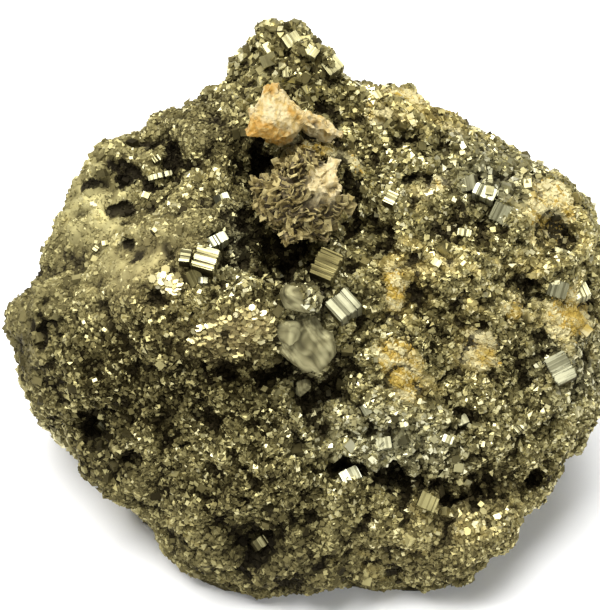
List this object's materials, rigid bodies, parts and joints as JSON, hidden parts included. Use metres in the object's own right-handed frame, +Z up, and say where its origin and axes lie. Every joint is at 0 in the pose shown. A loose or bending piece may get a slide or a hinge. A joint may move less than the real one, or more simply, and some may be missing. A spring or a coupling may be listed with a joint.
{
  "type": "pyrite specimen",
  "caption": "Fist-sized lump of massive pyrite covered in fine crystals, with a calcite spur and a bladed knob near its peak, cut flat below to rest on a shelf.",
  "frame": {"origin": "middle of the flat base, under the middle of the whole outline", "axes": "+Z up from the flat base; -Y out of the side that carries the show face; +X to the right when looking at that face"},
  "size_m": [0.0918, 0.0728, 0.0659],
  "materials": {
    "pyrite": "natural metallic druse, brassy and grey-green, with darker hollows",
    "calcite": "cream to orange-stained calcite, waxy and slightly translucent",
    "gangue": "tan-brown bladed crust, matte, with a paler lump"
  },
  "bodies": {
    "root": {"pyrite_mass": "pyrite", "calcite_spur": "calcite", "gangue_knob": "gangue"}
  },
  "joints": []
}
